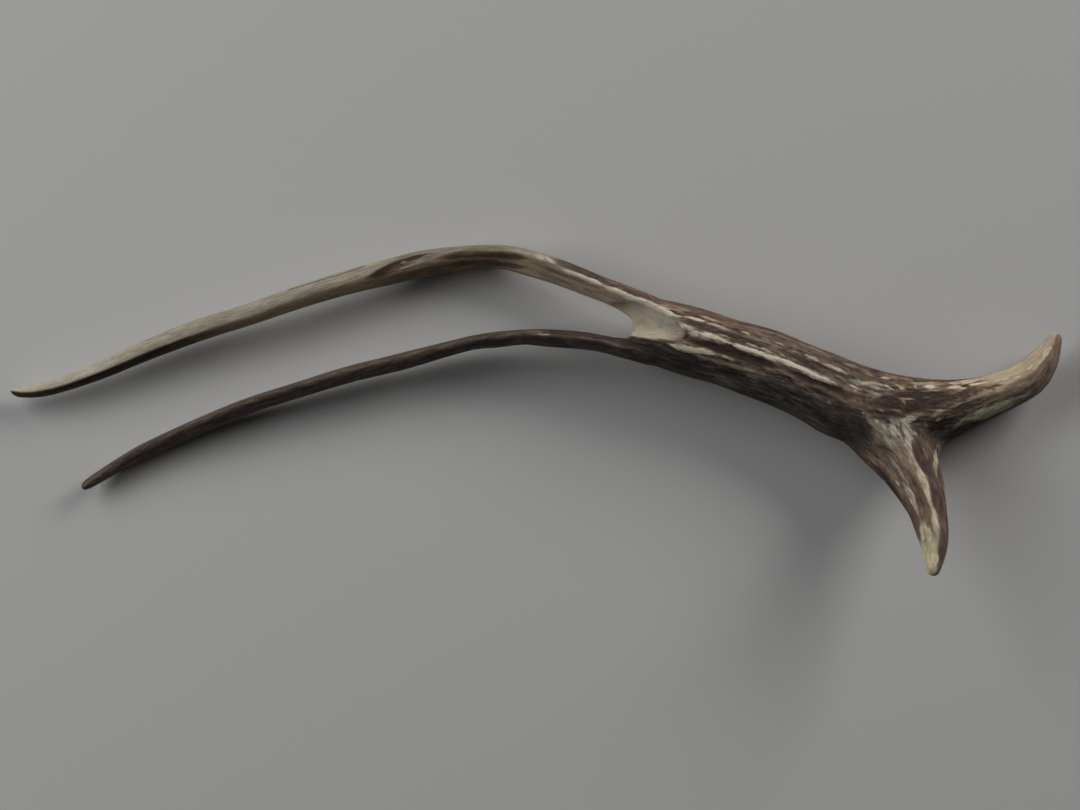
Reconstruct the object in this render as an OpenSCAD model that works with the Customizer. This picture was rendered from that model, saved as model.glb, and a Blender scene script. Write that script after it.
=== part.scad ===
// Two-pronged hair fork carved from one length of deer antler.
// It lies flat as it rests on a table: +X points to the head, +Z is up.

/* [Size] */
// Length over everything. The other sizes scale with it and hold as given at 179
overall_length = 179; // [161:1:197]
// How thick the two prongs are, as a share of the real ones
prong_girth = 1; // [0.9:0.02:1.15]
// Height of the raised tine's tip above the table
raised_tip_height = 20; // [16:0.5:24]

/* [Surface] */
// Number of bark ridges around the beam
ridge_count = 12; // [8:1:14]
// Depth of the furrows between the ridges
furrow_depth = 0.35; // [0:0.05:0.6]

/* [Gap] */
// Radius of the corners at the closed end of the gap
gap_corner = 1.1; // [0.5:0.1:1.4]
// Depth of the scooped ramp below the top of the beam
scoop_depth = 4.2; // [2.5:0.1:5]

/* [Hidden] */

antler_colour = [0.45, 0.38, 0.31];

// Columns of the section tables
col_x = 0;
col_y = 1;
col_width = 2;
col_low = 3;
col_top = 4;
col_arris = 5;

// Long prong, tip first: plan position, width, underside and top heights,
// and how far across from the gap side the arris between its two faces lies
long_prong_sections = [
    [-89.8, 2.85, 1.3, 1.4, 2.8, 0.50],
    [-88.3, 2.75, 2.1, 1.5, 3.4, 0.45],
    [-83.4, 3.4, 2.55, 1.8, 4.5, 0.42],
    [-75.0, 6.3, 3.1, 2.1, 5.5, 0.38],
    [-66.6, 9.9, 3.5, 2.2, 6.1, 0.36],
    [-57.8, 13.3, 3.8, 2.2, 6.4, 0.36],
    [-49.3, 15.9, 3.75, 2.6, 6.8, 0.42],
    [-40.9, 18.8, 3.95, 3.2, 7.5, 0.45],
    [-32.3, 21.4, 4.2, 3.2, 7.8, 0.50],
    [-23.7, 23.65, 4.6, 1.4, 6.9, 0.46],
    [-18.5, 24.9, 4.6, 0.2, 6.2, 0.52],
    [-11.6, 25.7, 4.4, 0.0, 5.8, 0.64],
    [-6.0, 25.9, 4.2, 0.5, 6.0, 0.62],
    [-0.9, 24.8, 4.6, 1.6, 6.6, 0.70],
    [4.8, 22.9, 4.4, 2.1, 6.8, 0.68],
    [11.6, 20.2, 4.2, 2.8, 7.3, 0.62],
    [19.4, 17.4, 3.9, 3.0, 7.9, 0.60],
    [26.2, 13.9, 3.4, 3.6, 7.4, 0.50]
];

// Short prong, tip first, with the same columns
short_prong_sections = [
    [-77.5, -13.45, 1.4, 1.9, 3.3, 0.50],
    [-76.2, -12.6, 1.9, 1.4, 3.6, 0.45],
    [-73.8, -11.1, 2.1, 0.7, 3.9, 0.40],
    [-70.8, -9.3, 2.3, 0.3, 4.1, 0.35],
    [-66.6, -7.1, 2.8, 0.0, 4.6, 0.25],
    [-58.0, -3.2, 2.8, 0.4, 5.6, 0.25],
    [-49.2, 0.4, 2.8, 0.9, 6.3, 0.25],
    [-40.6, 3.1, 2.8, 1.4, 6.9, 0.25],
    [-32.1, 5.7, 2.9, 1.6, 7.3, 0.25],
    [-23.5, 7.8, 3.0, 1.8, 7.6, 0.25],
    [-15.0, 10.1, 2.6, 2.0, 7.7, 0.28],
    [-10.6, 11.2, 2.5, 2.1, 7.8, 0.30],
    [-6.3, 11.7, 2.8, 2.2, 8.0, 0.30],
    [-2.0, 12.1, 2.6, 2.4, 8.3, 0.30],
    [2.4, 11.9, 3.1, 2.7, 8.6, 0.30],
    [6.8, 11.6, 3.1, 2.8, 8.9, 0.30],
    [11.2, 11.0, 3.0, 2.9, 9.1, 0.35],
    [15.6, 9.9, 3.2, 2.9, 9.2, 0.40],
    [21.1, 8.6, 3.2, 3.0, 9.0, 0.45],
    [27.9, 8.1, 2.7, 3.6, 7.6, 0.50]
];

// Beam and the side tine that runs on from it: plan position, width, underside and top
beam_sections = [
    [10.9, 15.8, 8.3, 3.3, 5.2],
    [13.9, 14.8, 9.5, 2.7, 8.2],
    [18.5, 13.6, 10.9, 1.5, 10.4],
    [23.6, 12.17, 11.85, 0.7, 10.8],
    [27.9, 10.9, 12.0, 0.5, 10.8],
    [32.2, 9.6, 11.6, 0.4, 10.7],
    [36.4, 8.25, 12.1, 0.3, 10.6],
    [40.7, 6.8, 12.4, 0.3, 10.5],
    [44.9, 5.0, 12.4, 0.2, 10.5],
    [49.2, 3.1, 13.0, 0.2, 10.6],
    [53.4, 1.05, 13.6, 0.1, 10.8],
    [60.2, -0.3, 12.4, 0.0, 10.8],
    [67.1, -0.4, 10.9, 0.0, 10.0],
    [71.5, 0.2, 9.4, 0.0, 8.8],
    [75.4, 1.2, 8.0, 0.3, 7.9],
    [80.3, 2.95, 6.8, 0.9, 7.3],
    [84.4, 5.05, 6.5, 1.2, 7.0],
    [86.4, 7.3, 5.6, 1.5, 6.8],
    [87.8, 9.3, 4.2, 2.1, 6.3],
    [88.8, 11.6, 2.5, 3.0, 5.6]
];

// Raised tine, from inside the head to its tip, with the same columns
raised_tine_sections = [
    [49.5, 2.4, 9.4, 1.6, 8.8],
    [55.65, -0.55, 12.0, 0.9, 10.2],
    [59.35, -4.1, 12.3, 1.1, 11.0],
    [61.85, -7.3, 11.6, 2.6, 12.0],
    [63.55, -10.4, 10.2, 5.2, 13.3],
    [65.0, -14.1, 8.25, 7.9, 15.1],
    [65.8, -17.2, 6.5, 10.4, 16.5],
    [66.3, -20.4, 5.6, 12.9, 18.2],
    [66.5, -23.0, 4.5, 14.9, 19.2],
    [66.3, -25.6, 3.1, 16.8, 19.8],
    [66.0, -27.1, 2.2, 18.0, 20.0]
];
raised_tip_in_table = raised_tine_sections[len(raised_tine_sections) - 1][col_top];

// Balls of the web between the two tines, from the side tine to the raised tine: place, radius.
// Each neighbouring two make a hull, so the web's free edge is hollow.
web_balls = [
    [72.4, -2.6, 4.4, 2.0],
    [67.3, -5.0, 5.6, 2.4],
    [66.2, -10.6, 7.4, 1.9]
];

// Outline of the closed end of the gap, seen from above
gap_outline = [
    [8.8, 18.7],
    [10.9, 18.3],
    [13.9, 17.0],
    [16.6, 15.3],
    [16.6, 12.9],
    [15.6, 11.9],
    [12.6, 12.2],
    [8.8, 12.9]
];

// Balls whose hull is the scoop: place along and across, height of the underside
// above the scoop's own depth line, radius
scoop_balls = [
    [11.6, 16.2, -2.0, 1.9],
    [17.2, 15.7, 0, 3.4],
    [23.2, 13.7, 3.1, 2.6]
];
// Height of the beam's top, from which the scoop's depth is measured
beam_top = 10.8;

// Shift that centres the whole fork on the origin and sets its lowest point on the table
centring = [0.2, -0.03, 0.02];

// Thickness of the limbs where their furrows have the depth given above
beam_thickness = 11;
tine_thickness = 9;
// Shares of the beam's length where its relief starts, is full, fades and ends
beam_relief_at = [0, 0.15, 0.70, 0.98];
// The same for the raised tine, whose relief is full from its start
tine_relief_at = [0.50, 0.85];
// How much a ridge's strength swings along a limb, in degrees a limb and from ridge to ridge
ridge_swing = 0.3;
swing_along = 400;
swing_across = 83;

long_prong_rings = 51;
short_prong_rings = 42;
points_round_beam = 3 * ridge_count;
points_round_tine = 24;
dome_angles = [75, 50, 25];
step = 0.01;

// Value on a smooth curve through b and c, with a and d as their neighbours
function curve(a, b, c, d, t) =
    0.5 * (2 * b + (c - a) * t + (2 * a - 5 * b + 4 * c - d) * t * t + (3 * b - a - 3 * c + d) * t * t * t);

// A section at a share s of the way along a table
function section_at(rows, s) =
    let (
        last = len(rows) - 1,
        i = min(floor(s * last), last - 1)
    )
    curve(rows[max(i - 1, 0)], rows[i], rows[i + 1], rows[min(i + 2, last)], s * last - i);

function spine_point(row) = [row[col_x], row[col_y], (row[col_low] + row[col_top]) / 2];

function unit(v) = v / norm(v);

function heading(rows, s) =
    unit(spine_point(section_at(rows, min(s + step, 1))) - spine_point(section_at(rows, max(s - step, 0))));

function across(dir) = unit(cross([0, 0, 1], dir));

// Points of one ring: an outline of shares of the width and the depth, set square to the spine
function ring(centre, dir, width, depth, outline) =
    let (
        side = across(dir),
        rise = cross(dir, side)
    )
    [for (p = outline) centre + side * p[0] * width + rise * p[1] * depth];

function body_ring(rows, s, girth, outline) =
    let (
        row = section_at(rows, s),
        dir = heading(rows, s),
        depth = (row[col_top] - row[col_low]) * norm([dir[0], dir[1]])
    )
    ring(spine_point(row), dir, row[col_width] * girth, depth, outline);

// A ring of the rounded end that closes a limb: way is -1 at its start and 1 at its end
function dome_ring(rows, way, angle, girth, outline) =
    let (
        s = way < 0 ? 0 : 1,
        row = section_at(rows, s),
        dir = heading(rows, s),
        width = row[col_width] * girth,
        depth = (row[col_top] - row[col_low]) * norm([dir[0], dir[1]]),
        reach = way * min(width, depth) / 2 * sin(angle)
    )
    ring(spine_point(row) + dir * reach, dir, width * cos(angle), depth * cos(angle), outline);

function reversed(list) = [for (i = [len(list) - 1 : -1 : 0]) list[i]];

// Skin of a limb through its rings
module skin(rings) {
    count = len(rings[0]);
    last = len(rings) - 1;
    points = [for (r = rings) for (p = r) p];
    sides = [
        for (i = [0 : last - 1])
            for (j = [0 : count - 1])
                let (
                    a = i * count + j,
                    b = i * count + (j + 1) % count,
                    c = b + count,
                    d = a + count
                )
                each [[a, d, c], [a, c, b]]
    ];
    first_end = [for (j = [0 : count - 1]) j];
    last_end = [for (j = [count - 1 : -1 : 0]) last * count + j];
    polyhedron(points = points, faces = concat(sides, [first_end, last_end]));
}

// Outline of a prong as shares of its width and depth. The arris parts the steep sawn face
// on the gap side from the rounded outer face.
function prong_outline(arris, outer_way) =
    let (
        outer = 1 - arris,
        corners = [
            [0, 0.42],
            [0.05, 0.64],
            [0.6 * arris, 0.88],
            [arris, 1],
            [arris + 0.25 * outer, 0.98],
            [arris + 0.52 * outer, 0.90],
            [arris + 0.8 * outer, 0.73],
            [1, 0.50],
            [0.97, 0.30],
            [0.86, 0.12],
            [0.64, 0.02],
            [0.38, 0],
            [0.16, 0.07],
            [0.04, 0.22]
        ],
        placed = [for (c = corners) [outer_way * (c[0] - 0.5), c[1] - 0.5]]
    )
    outer_way > 0 ? reversed(placed) : placed;

// A prong with its gap side facing away from outer_way
module prong(rows, outer_way, rings) {
    tip = prong_outline(rows[0][col_arris], outer_way);
    dome = [for (angle = dome_angles) dome_ring(rows, -1, angle, prong_girth, tip)];
    body = [
        for (i = [0 : rings])
            let (
                s = i / rings,
                outline = prong_outline(section_at(rows, s)[col_arris], outer_way)
            )
            body_ring(rows, s, prong_girth, outline)
    ];
    skin(concat(dome, body));
}

// How strongly one bark ridge stands out at a share s of the way along
function ridge_strength(ridge, s) =
    1 - ridge_swing + ridge_swing * sin(swing_along * s + swing_across * ridge);

// Round outline with ridges, each ridge one point and the furrow beside it the next two
function bark_outline(count, s, relief) = [
    for (j = [0 : count - 1])
        let (
            angle = 360 * j / count,
            drop = relief * ridge_strength(floor(j / 3), s),
            r = 0.5 - (j % 3 == 0 ? 0 : drop)
        )
        [r * cos(angle), r * sin(angle)]
];

// Relief fades out where the bark was carved or polished away: from 0 at a to full at b
function fade(s, a, b) = max(0, min(1, (s - a) / (b - a)));

module beam() {
    rings = 2 * (len(beam_sections) - 1);
    at = beam_relief_at;
    relief = furrow_depth / beam_thickness;
    body = [
        for (i = [0 : rings])
            let (
                s = i / rings,
                share = relief * fade(s, at[0], at[1]) * fade(s, at[3], at[2])
            )
            body_ring(beam_sections, s, 1, bark_outline(points_round_beam, s, share))
    ];
    round_outline = bark_outline(points_round_beam, 1, 0);
    dome = [for (angle = reversed(dome_angles)) dome_ring(beam_sections, 1, angle, 1, round_outline)];
    skin(concat(body, dome));
}

module raised_tine() {
    lift = (raised_tip_height - raised_tip_in_table) / (len(raised_tine_sections) - 1);
    sections = [
        for (i = [0 : len(raised_tine_sections) - 1])
            let (row = raised_tine_sections[i])
            [row[col_x], row[col_y], row[col_width], row[col_low] + lift * i, row[col_top] + lift * i]
    ];
    rings = 3 * (len(sections) - 1);
    relief = furrow_depth / tine_thickness;
    body = [
        for (i = [0 : rings])
            let (
                s = i / rings,
                share = relief * fade(s, tine_relief_at[1], tine_relief_at[0])
            )
            body_ring(sections, s, 1, bark_outline(points_round_tine, s, share))
    ];
    round_outline = bark_outline(points_round_tine, 1, 0);
    dome = [for (angle = reversed(dome_angles)) dome_ring(sections, 1, angle, 1, round_outline)];
    skin(concat(body, dome));
}

// The web that fills the fork between the side tine and the raised tine
module web() {
    for (i = [1 : len(web_balls) - 1])
        hull()
            for (ball = [web_balls[i - 1], web_balls[i]])
                translate([ball[0], ball[1], ball[2]])
                    sphere(r = ball[3], $fn = 24);
}

// The gap's closed end, sawn straight through the beam
module gap_end() {
    reach = 20;
    translate([0, 0, -reach / 2])
        linear_extrude(2 * reach)
            offset(r = gap_corner, $fn = 24)
                offset(delta = -gap_corner)
                    polygon(gap_outline);
}

// The hollow ramp that leads from the gap up to the top of the beam
module scoop() {
    hull()
        for (ball = scoop_balls)
            translate([ball[0], ball[1], beam_top - scoop_depth + ball[2] + ball[3]])
                sphere(r = ball[3], $fn = 32);
}

module antler_fork() {
    color(antler_colour)
        resize([overall_length, 0, 0], auto = true)
            translate(centring)
                difference() {
                    union() {
                        prong(long_prong_sections, 1, long_prong_rings);
                        prong(short_prong_sections, -1, short_prong_rings);
                        beam();
                        raised_tine();
                        web();
                    }
                    gap_end();
                    scoop();
                }
}

antler_fork();
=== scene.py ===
import math

import bmesh
import bpy
import numpy as np
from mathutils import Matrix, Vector
from mathutils.kdtree import KDTree


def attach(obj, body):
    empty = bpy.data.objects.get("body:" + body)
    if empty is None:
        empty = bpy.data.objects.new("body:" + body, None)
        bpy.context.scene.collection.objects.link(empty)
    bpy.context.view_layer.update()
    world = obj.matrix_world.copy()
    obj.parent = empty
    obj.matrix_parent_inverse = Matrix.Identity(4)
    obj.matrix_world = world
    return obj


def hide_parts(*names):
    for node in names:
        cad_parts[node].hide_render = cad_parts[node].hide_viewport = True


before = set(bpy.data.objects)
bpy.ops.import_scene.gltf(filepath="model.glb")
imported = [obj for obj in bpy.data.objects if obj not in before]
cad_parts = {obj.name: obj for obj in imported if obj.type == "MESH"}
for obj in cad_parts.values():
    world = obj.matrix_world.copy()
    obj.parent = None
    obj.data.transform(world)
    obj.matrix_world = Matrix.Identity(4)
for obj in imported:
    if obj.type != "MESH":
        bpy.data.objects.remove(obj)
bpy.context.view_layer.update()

MM = 0.001
TINY = 1e-9
FAR = 1e9

# Seeds of the noises
EDGE_SEED = 7        # and the five after it
BARK_SEED = 18       # the beam's, and the one after it the raised tine's
FINE_SEED = 28       # the same
PEARL_SEED = 47
PRONG_SEED = 67
LONG_SEED = 87
SHORT_SEED = 88

# The part is shifted so far and then scaled to its length. Every size below is in the frame of the
# CAD's own tables, before that.
CENTRING = np.array([0.2, -0.03, 0.02])
CAD_SCALE = 0.99173

# Camera
CAMERA_HEIGHT = 501.98
CAMERA_XY = (0.682, 0.482)
PICTURE_WIDTH = 184.32     # width seen at PLANE_HEIGHT
PLANE_HEIGHT = 6.0
SENSOR = 36.0
NEAREST_SEEN = 0.01        # metres
PICTURE = (1080, 810)      # pixels
PIXEL = PICTURE_WIDTH / PICTURE[0]

# Lights. Columns: name, azimuth and elevation, half width and half height as the object sees them (all in
# degrees), distance in metres, power in watts, colour
LIGHTS = [
    ("right_window", 221.5, 21.7, 15, 9, 1.2, 7.1, (1.0, 0.985, 0.96)),
    ("left_window", -23.4, 30.0, 30, 11, 0.8, 3.2, (0.98, 0.99, 1.0)),
]
WORLD_STRENGTH = 0.012
FLOOR_SIDE = 3.0           # metres
FLOOR_COLOUR = (0.72, 0.715, 0.705)
FLOOR_ROUGHNESS = 0.9


def make_camera():
    data = bpy.data.cameras.new("photo_camera")
    data.sensor_fit = "HORIZONTAL"
    data.sensor_width = SENSOR
    data.lens = SENSOR * (CAMERA_HEIGHT - PLANE_HEIGHT) / PICTURE_WIDTH
    data.clip_start = NEAREST_SEEN
    camera = bpy.data.objects.new("photo_camera", data)
    camera.location = (np.array([*CAMERA_XY, CAMERA_HEIGHT]) + CENTRING) * CAD_SCALE * MM
    bpy.context.scene.collection.objects.link(camera)
    bpy.context.scene.camera = camera


def make_light(name, azimuth, elevation, half_width, half_height, distance, power, colour):
    """A soft rectangular light. azimuth is the way that its light travels, seen from above."""
    a, e = math.radians(azimuth), math.radians(elevation)
    source = distance * Vector((-math.cos(a) * math.cos(e), -math.sin(a) * math.cos(e), math.sin(e)))
    data = bpy.data.lights.new(name, "AREA")
    data.shape = "RECTANGLE"
    data.size = 2 * distance * math.tan(math.radians(half_width))
    data.size_y = 2 * distance * math.tan(math.radians(half_height))
    data.energy = power
    data.color = colour
    light = bpy.data.objects.new(name, data)
    light.location = source
    light.rotation_euler = (-source).to_track_quat("-Z", "Y").to_euler()
    light.visible_camera = False
    bpy.context.scene.collection.objects.link(light)


def make_world(strength):
    world = bpy.data.worlds.new("studio")
    bpy.context.scene.world = world
    world.use_nodes = True
    background = world.node_tree.nodes["Background"]
    background.inputs["Color"].default_value = (1.0, 1.0, 1.0, 1.0)
    background.inputs["Strength"].default_value = strength


def make_floor(colour):
    bpy.ops.mesh.primitive_plane_add(size=FLOOR_SIDE, location=(0, 0, 0))
    floor = bpy.context.object
    floor.name = "floor"
    mat = bpy.data.materials.new("floor")
    mat.use_nodes = True
    shader = mat.node_tree.nodes["Principled BSDF"]
    shader.inputs["Base Color"].default_value = (*colour, 1.0)
    shader.inputs["Roughness"].default_value = FLOOR_ROUGHNESS
    floor.data.materials.append(mat)


# Limbs
# The sections that the CAD part is built from. Columns: place along and across, width,
# underside, top. The prongs' last column is how far across from the gap side the arris
# between the two faces lies.
LONG_PRONG = [
    (-89.8, 2.85, 1.3, 1.4, 2.8, 0.5), (-88.3, 2.75, 2.1, 1.5, 3.4, 0.45),
    (-83.4, 3.4, 2.55, 1.8, 4.5, 0.42), (-75, 6.3, 3.1, 2.1, 5.5, 0.38),
    (-66.6, 9.9, 3.5, 2.2, 6.1, 0.36), (-57.8, 13.3, 3.8, 2.2, 6.4, 0.36),
    (-49.3, 15.9, 3.75, 2.6, 6.8, 0.42), (-40.9, 18.8, 3.95, 3.2, 7.5, 0.45),
    (-32.3, 21.4, 4.2, 3.2, 7.8, 0.5), (-23.7, 23.65, 4.6, 1.4, 6.9, 0.46),
    (-18.5, 24.9, 4.6, 0.2, 6.2, 0.52),
    (-11.6, 25.7, 4.4, 0, 5.8, 0.64), (-6, 25.9, 4.2, 0.5, 6, 0.62), (-0.9, 24.8, 4.6, 1.6, 6.6, 0.7),
    (4.8, 22.9, 4.4, 2.1, 6.8, 0.68), (11.6, 20.2, 4.2, 2.8, 7.3, 0.62), (19.4, 17.4, 3.9, 3, 7.9, 0.6),
    (26.2, 13.9, 3.4, 3.6, 7.4, 0.5),
]
SHORT_PRONG = [
    (-77.5, -13.45, 1.4, 1.9, 3.3, 0.5), (-76.2, -12.6, 1.9, 1.4, 3.6, 0.45),
    (-73.8, -11.1, 2.1, 0.7, 3.9, 0.4), (-70.8, -9.3, 2.3, 0.3, 4.1, 0.35),
    (-66.6, -7.1, 2.8, 0, 4.6, 0.25), (-58, -3.2, 2.8, 0.4, 5.6, 0.25), (-49.2, 0.4, 2.8, 0.9, 6.3, 0.25),
    (-40.6, 3.1, 2.8, 1.4, 6.9, 0.25), (-32.1, 5.7, 2.9, 1.6, 7.3, 0.25), (-23.5, 7.8, 3, 1.8, 7.6, 0.25),
    (-15, 10.1, 2.6, 2, 7.7, 0.28), (-10.6, 11.2, 2.5, 2.1, 7.8, 0.3), (-6.3, 11.7, 2.8, 2.2, 8, 0.3),
    (-2, 12.1, 2.6, 2.4, 8.3, 0.3), (2.4, 11.9, 3.1, 2.7, 8.6, 0.3), (6.8, 11.6, 3.1, 2.8, 8.9, 0.3),
    (11.2, 11, 3, 2.9, 9.1, 0.35), (15.6, 9.9, 3.2, 2.9, 9.2, 0.4), (21.1, 8.6, 3.2, 3, 9, 0.45),
    (27.9, 8.1, 2.7, 3.6, 7.6, 0.5),
]
BEAM = [
    (10.9, 15.8, 8.3, 3.3, 5.2), (13.9, 14.8, 9.5, 2.7, 8.2), (18.5, 13.6, 10.9, 1.5, 10.4),
    (23.6, 12.17, 11.85, 0.7, 10.8), (27.9, 10.9, 12, 0.5, 10.8), (32.2, 9.6, 11.6, 0.4, 10.7),
    (36.4, 8.25, 12.1, 0.3, 10.6), (40.7, 6.8, 12.4, 0.3, 10.5), (44.9, 5, 12.4, 0.2, 10.5),
    (49.2, 3.1, 13, 0.2, 10.6), (53.4, 1.05, 13.6, 0.1, 10.8), (60.2, -0.3, 12.4, 0, 10.8),
    (67.1, -0.4, 10.9, 0, 10), (71.5, 0.2, 9.4, 0, 8.8), (75.4, 1.2, 8, 0.3, 7.9),
    (80.3, 2.95, 6.8, 0.9, 7.3), (84.4, 5.05, 6.5, 1.2, 7), (86.4, 7.3, 5.6, 1.5, 6.8),
    (87.8, 9.3, 4.2, 2.1, 6.3), (88.8, 11.6, 2.5, 3, 5.6),
]
RAISED_TINE = [
    (49.5, 2.4, 9.4, 1.6, 8.8), (55.65, -0.55, 12, 0.9, 10.2), (59.35, -4.1, 12.3, 1.1, 11),
    (61.85, -7.3, 11.6, 2.6, 12), (63.55, -10.4, 10.2, 5.2, 13.3), (65, -14.1, 8.25, 7.9, 15.1),
    (65.8, -17.2, 6.5, 10.4, 16.5), (66.3, -20.4, 5.6, 12.9, 18.2), (66.5, -23, 4.5, 14.9, 19.2),
    (66.3, -25.6, 3.1, 16.8, 19.8), (66, -27.1, 2.2, 18, 20),
]
# Balls along the scoop: place, height of the centre, radius
SCOOP = [(11.6, 16.2, 6.5, 1.9), (17.2, 15.7, 10.0, 3.4), (23.2, 13.7, 12.3, 2.6)]
STEP_ALONG = 0.3
MIDDLE = 0.5         # share of a limb's width
LEAST_RADIUS = 0.5
CHUNK = 20000        # points placed at a time
OWN_RADII = 0.9      # a point within so many radii of a limb is all its own,
SHARE_FADE = 0.12    # and beyond them its share falls by e over each of these


def smooth(x, low, high):
    """0 below low, 1 above high, and smooth between. low may be the larger."""
    t = np.clip((x - low) / (high - low), 0.0, 1.0)
    return t * t * (3 - 2 * t)


class Limb:
    """A limb's centre line, sampled finely, with its widths and depths."""

    def __init__(self, rows):
        rows = np.array(rows, float)
        keys = np.column_stack([rows[:, 0], rows[:, 1], (rows[:, 3] + rows[:, 4]) / 2])
        gaps = np.linalg.norm(np.diff(keys, axis=0), axis=1)
        at = np.concatenate([[0], np.cumsum(gaps)])
        self.s = np.arange(0, at[-1], STEP_ALONG)
        values = np.column_stack([keys, rows[:, 2], rows[:, 4] - rows[:, 3], rows[:, 5:]])
        slopes = np.gradient(values, at, axis=0)
        columns = range(values.shape[1])
        fine = np.column_stack([self.hermite(at, values[:, k], slopes[:, k]) for k in columns])
        self.centre = fine[:, :3]
        self.half_width = fine[:, 3] / 2
        self.half_depth = fine[:, 4] / 2
        self.arris = fine[:, 5] if fine.shape[1] > 5 else np.full(len(fine), MIDDLE)
        ahead = np.gradient(self.centre, axis=0)
        self.ahead = ahead / np.linalg.norm(ahead, axis=1)[:, None]
        side = np.cross([0, 0, 1], self.ahead)
        self.side = side / np.linalg.norm(side, axis=1)[:, None]
        self.rise = np.cross(self.ahead, self.side)

    def hermite(self, at, value, slope):
        i = np.clip(np.searchsorted(at, self.s, side="right") - 1, 0, len(at) - 2)
        h = at[i + 1] - at[i]
        t = (self.s - at[i]) / h
        return ((2 * t**3 - 3 * t**2 + 1) * value[i] + (t**3 - 2 * t**2 + t) * h * slope[i]
                + (3 * t**2 - 2 * t**3) * value[i + 1] + (t**3 - t**2) * h * slope[i + 1])

    def place(self, points):
        """For each point: distance along, offsets aside and upwards, angle round from the top
        (positive towards the side), how far out it is in radii, and how far the arris beside it
        lies from the middle."""
        near = np.zeros(len(points), int)
        for start in range(0, len(points), CHUNK):
            part = points[start:start + CHUNK].astype(np.float32)
            d = ((part[:, None, :] - self.centre[None].astype(np.float32)) ** 2).sum(2)
            near[start:start + CHUNK] = d.argmin(1)
        off = points - self.centre[near]
        ahead = (off * self.ahead[near]).sum(1)
        aside = (off * self.side[near]).sum(1)
        up = (off * self.rise[near]).sum(1)
        wide, deep = self.half_width[near], self.half_depth[near]
        beyond = np.where((near == 0) | (near == len(self.s) - 1), np.abs(ahead), 0.0)
        out = np.sqrt((aside / wide) ** 2 + (up / deep) ** 2) + beyond / np.maximum(wide, LEAST_RADIUS)
        return {
            "s": self.s[near] + np.clip(ahead, -STEP_ALONG, STEP_ALONG),
            "aside": aside,
            "up": up,
            "angle": np.degrees(np.arctan2(aside, up)),
            "out": out,
            "arris": (self.arris[near] - MIDDLE) * 2 * wide,
        }


# Noise
LATTICE = 256        # directions drawn for the corners of the noise's cells
WRAP = LATTICE - 1
NOISE_GAIN = 1.5     # brings the noise to about -1 to 1


def lattice_noise(points, seed):
    """Smooth gradient noise, about -1 to 1."""
    draw = np.random.default_rng(seed)
    order = draw.permutation(LATTICE)
    order = np.concatenate([order, order])
    way = draw.normal(size=(LATTICE, 3))
    way /= np.linalg.norm(way, axis=1)[:, None]
    cell = np.floor(points).astype(int)
    f = points - cell
    ease = f * f * f * (f * (f * 6 - 15) + 10)
    total = np.zeros(len(points))
    for step in np.ndindex(2, 2, 2):
        x, y, z = ((cell + step) & WRAP).T
        corner = order[order[order[x] + y] + z]
        share = np.where(step, ease, 1 - ease).prod(1)
        total += share * ((f - step) * way[corner]).sum(1)
    return total * NOISE_GAIN


def streaks(at, length, width, seed):
    """Noise drawn out along a limb."""
    flow = np.column_stack([at["s"] / length, at["aside"] / width, at["up"] / width])
    return lattice_noise(flow, seed)


# Skin
BARK_DEPTH = 0.10
RIDGE_RISE = 0.12    # how far the ridges' tops stand above the smoothed girth
LOWEST = -0.01       # just above the floor
VOXEL = 0.2
SAME_PLACE = 1e-7    # metres
MOST_TRIANGLES = 190000


def remeshed(node):
    """A copy of the CAD node as an even, closed mesh of small faces."""
    source = node.copy()
    source.data = node.data.copy()
    bpy.context.scene.collection.objects.link(source)
    mesh = bmesh.new()
    mesh.from_mesh(source.data)
    bmesh.ops.remove_doubles(mesh, verts=mesh.verts, dist=SAME_PLACE)
    mesh.to_mesh(source.data)
    mesh.free()
    even = source.modifiers.new("even", "REMESH")
    even.mode = "VOXEL"
    even.voxel_size = VOXEL * MM
    even.adaptivity = 0.0
    bpy.context.view_layer.update()
    shown = source.evaluated_get(bpy.context.evaluated_depsgraph_get())
    data = bpy.data.meshes.new_from_object(shown)
    bpy.data.objects.remove(source)
    return data


def read(items, name, columns, kind=np.float32):
    values = np.empty(len(items) * columns, kind)
    items.foreach_get(name, values)
    return values.reshape(-1, columns)


def read_points(data):
    return read(data.vertices, "co", 3).astype(float) / (MM * CAD_SCALE) - CENTRING


def write_points(data, points):
    placed = (points + CENTRING) * CAD_SCALE * MM
    data.vertices.foreach_set("co", placed.astype(np.float32).ravel())
    data.update()


def read_normals(data):
    return read(data.vertices, "normal", 3).astype(float)


def relaxed(values, edges, weight, rounds):
    """values pulled towards the mean of their neighbours, by weight at each vertex."""
    count = len(values)
    a, b = edges[:, 0], edges[:, 1]
    degree = np.maximum(np.bincount(a, minlength=count) + np.bincount(b, minlength=count), 1)
    v = values.reshape(count, -1).copy()
    for _ in range(rounds):
        for k in range(v.shape[1]):
            total = (np.bincount(a, weights=v[b, k], minlength=count)
                     + np.bincount(b, weights=v[a, k], minlength=count))
            v[:, k] += weight * (total / degree - v[:, k])
    return v.reshape(values.shape)


def survey(points):
    """Where every point lies on each limb, and how much it belongs to each."""
    limbs = {"long": LONG_PRONG, "short": SHORT_PRONG, "beam": BEAM, "tine": RAISED_TINE}
    at = {name: Limb(rows).place(points) for name, rows in limbs.items()}
    share = {name: np.exp(-np.maximum(a["out"] - OWN_RADII, 0) / SHARE_FADE) for name, a in at.items()}
    total = sum(share.values()) + TINY
    for name in share:
        at[name]["share"] = share[name] / total
    return at


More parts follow.
